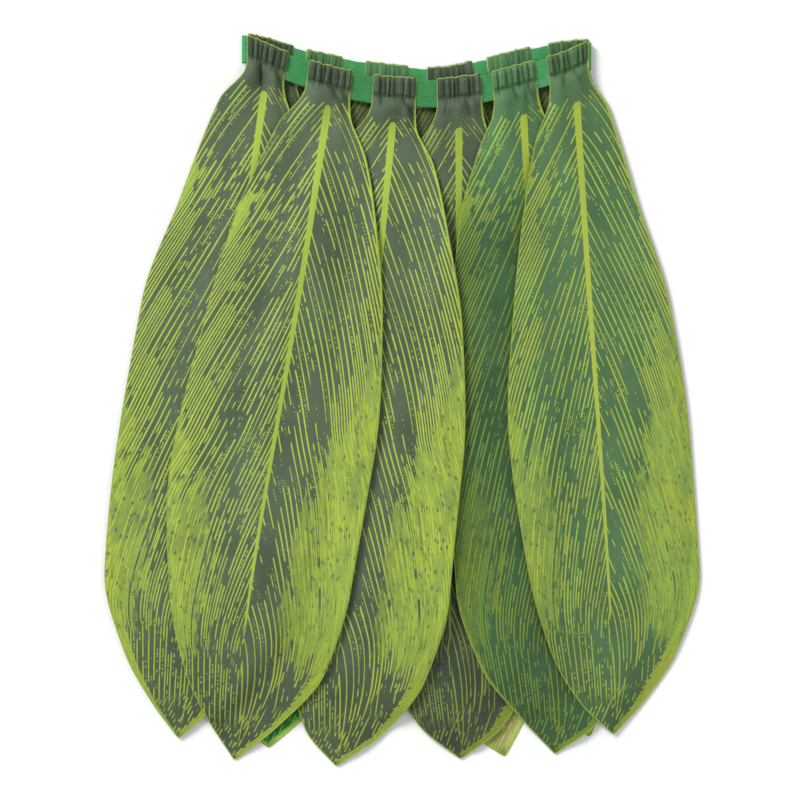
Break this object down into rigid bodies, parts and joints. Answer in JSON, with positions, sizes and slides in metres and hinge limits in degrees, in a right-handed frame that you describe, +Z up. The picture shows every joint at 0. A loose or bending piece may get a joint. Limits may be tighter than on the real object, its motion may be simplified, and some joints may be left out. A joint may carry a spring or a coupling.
{
  "type": "ti leaf skirt",
  "caption": "Costume skirt of long overlapping leaf-shaped cloth panels, each gathered over a ring of elastic waist tape, lying flat and face up.",
  "frame": {"origin": "centre of the bounding box in plan, on the surface that the skirt lies on", "axes": "+Y from the leaf tips to the waist, +Z up and out of the front face, +X to the right as the camera sees it"},
  "size_m": [0.4729, 0.5879, 0.0207],
  "materials": {
    "grey_green_leaf_cloth": "matt woven polyester printed with lime leaf veins on a grey-green ground",
    "green_leaf_cloth": "matt woven polyester printed with yellow-green leaf veins on a blue-green ground",
    "green_elastic": "soft knitted elastic tape, plain bright green"
  },
  "bodies": {
    "root": {"waist_elastic": "green_elastic", "leaf_back_1": "grey_green_leaf_cloth", "leaf_back_2": "grey_green_leaf_cloth", "leaf_back_3": "grey_green_leaf_cloth", "leaf_back_4": "grey_green_leaf_cloth", "leaf_back_5": "green_leaf_cloth", "leaf_back_6": "green_leaf_cloth", "leaf_front_1": "grey_green_leaf_cloth", "leaf_front_2": "grey_green_leaf_cloth", "leaf_front_3": "grey_green_leaf_cloth", "leaf_front_4": "grey_green_leaf_cloth", "leaf_front_5": "green_leaf_cloth", "leaf_front_6": "green_leaf_cloth"}
  },
  "joints": []
}
